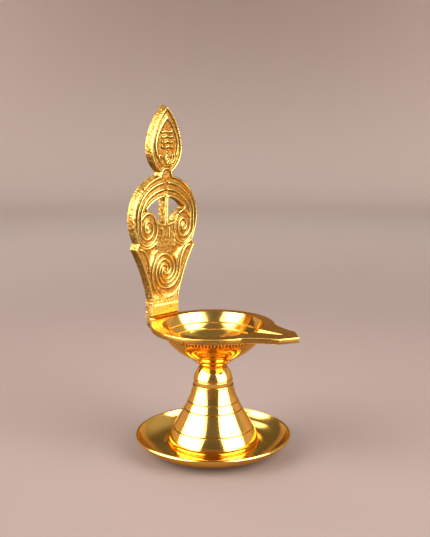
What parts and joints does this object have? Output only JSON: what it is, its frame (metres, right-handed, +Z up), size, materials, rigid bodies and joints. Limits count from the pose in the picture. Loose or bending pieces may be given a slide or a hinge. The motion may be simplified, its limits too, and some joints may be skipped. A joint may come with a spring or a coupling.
{
  "type": "brass oil lamp with back plate",
  "caption": "Small cast brass oil lamp: pointed-lip oil bowl on a bell pedestal in a drip saucer, with a pierced upright back plate ending in a flame.",
  "frame": {"origin": "on the lamp's axis, on the surface that the saucer's foot ring stands on", "axes": "+Z up along the lamp's axis; the bowl's lip points along -Y; the back plate stands at +Y, with its ornament facing the bowl"},
  "size_m": [0.064, 0.0712, 0.1405],
  "materials": {
    "polished_brass": "turned and buffed to a mirror, lightly handled",
    "cast_brass": "sand cast, polished on the ridge tops, grainy in the hollows",
    "screw_brass": "plain machined"
  },
  "bodies": {
    "stand": {"drip_saucer": "polished_brass", "pedestal": "polished_brass", "base_screw": "screw_brass", "base_washer": "screw_brass"},
    "stud": {"bowl_stud": "screw_brass"},
    "bowl": {"oil_bowl": "polished_brass", "back_plate": "cast_brass", "plate_screws": "screw_brass"}
  },
  "joints": [
    {"name": "stud_lift", "type": "slide", "parent": "stand", "child": "stud", "axis": [0, 0, 1], "range_m": [0, 0.00725]},
    {"name": "bowl_turn", "type": "hinge", "parent": "stud", "child": "bowl", "pos_m": [0, 0, 0.0376], "axis": [0, 0, 1], "range_deg": [0, 3240]}
  ],
  "couplings": [
    {"joint": "stud_lift", "follows": "bowl_turn", "m_per_rad": 0.00012732}
  ]
}
